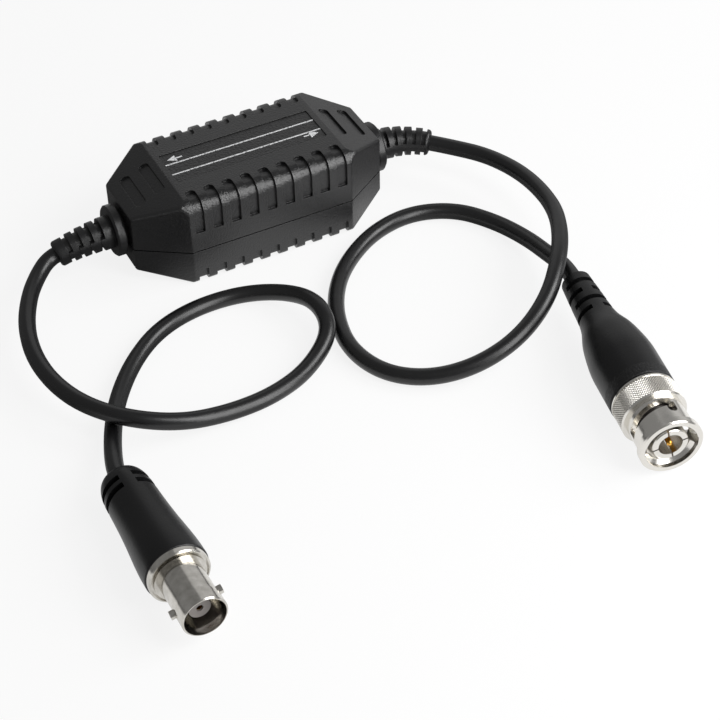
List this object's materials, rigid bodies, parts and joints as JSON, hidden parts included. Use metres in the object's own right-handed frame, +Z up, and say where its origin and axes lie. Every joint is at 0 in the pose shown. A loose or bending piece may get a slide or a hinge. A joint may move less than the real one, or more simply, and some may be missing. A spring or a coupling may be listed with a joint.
{
  "type": "video ground loop isolator",
  "caption": "In-line video ground loop isolator: a grooved box with a coaxial tail at each end, one ending in a bayonet jack and one in a bayonet plug.",
  "frame": {"origin": "centre of the housing's base, on the surface that it stands on", "axes": "+X along the housing towards the plug's end, -Y towards the side on which the connectors lie, +Z up"},
  "size_m": [0.1323, 0.1354, 0.0229],
  "materials": {
    "abs_black": "spark-eroded satin",
    "label_black": "coarse grain",
    "silver_print": "silver ink",
    "relief_pvc": "satin soft PVC",
    "cable_pvc": "glossy soft PVC",
    "boot_pvc": "satin moulded PVC",
    "bright_nickel": "bright nickel plate",
    "satin_nickel": "satin nickel plate",
    "gold_contact": "gold flash",
    "grey_insulator": "moulded insulator",
    "white_insulator": "moulded insulator",
    "board_green": "solder mask",
    "ferrite_grey": "ferrite",
    "copper_winding": "enamelled wire",
    "braid_copper": "bare braid",
    "foam_pad": "foam tape",
    "spring_steel": "stamped strip",
    "silicone": "moulded seal"
  },
  "bodies": {
    "housing": {"upper_shell": "abs_black", "lower_shell": "abs_black", "label_panel": "label_black", "panel_marking": "silver_print", "circuit_board": "board_green", "core_pad": "foam_pad", "toroid_core": "ferrite_grey", "primary_winding": "copper_winding", "secondary_winding": "copper_winding", "strain_relief_left": "relief_pvc", "strain_relief_right": "relief_pvc", "cable_end_left": "cable_pvc", "cable_end_right": "cable_pvc", "shield_tail_left": "braid_copper", "shield_tail_right": "braid_copper", "cable_left": "cable_pvc", "cable_right": "cable_pvc", "jack_body": "satin_nickel", "jack_bayonet_pins": "satin_nickel", "jack_dielectric": "white_insulator", "jack_contact": "gold_contact", "jack_ferrule": "bright_nickel", "jack_boot": "boot_pvc", "jack_cable_end": "cable_pvc", "plug_body": "bright_nickel", "plug_dielectric": "grey_insulator", "plug_pin": "gold_contact", "sealing_gasket": "silicone", "spring_washer": "spring_steel", "plug_boot": "boot_pvc", "plug_ferrule": "bright_nickel", "plug_cable_end": "cable_pvc"},
    "sleeve_carrier": {"thrust_washer": "bright_nickel"},
    "bayonet_sleeve": {"coupling_sleeve": "bright_nickel", "retaining_ring": "spring_steel"}
  },
  "joints": [
    {"name": "sleeve_push", "type": "slide", "parent": "housing", "child": "sleeve_carrier", "axis": [-0.1927, -0.9813, 0], "range_m": [0, 0.0008], "stiffness_N_per_m": 2000},
    {"name": "sleeve_turn", "type": "hinge", "parent": "sleeve_carrier", "child": "bayonet_sleeve", "pos_m": [0.04189, -0.11876, 0.00753], "axis": [-0.1927, -0.9813, 0], "continuous": true}
  ]
}
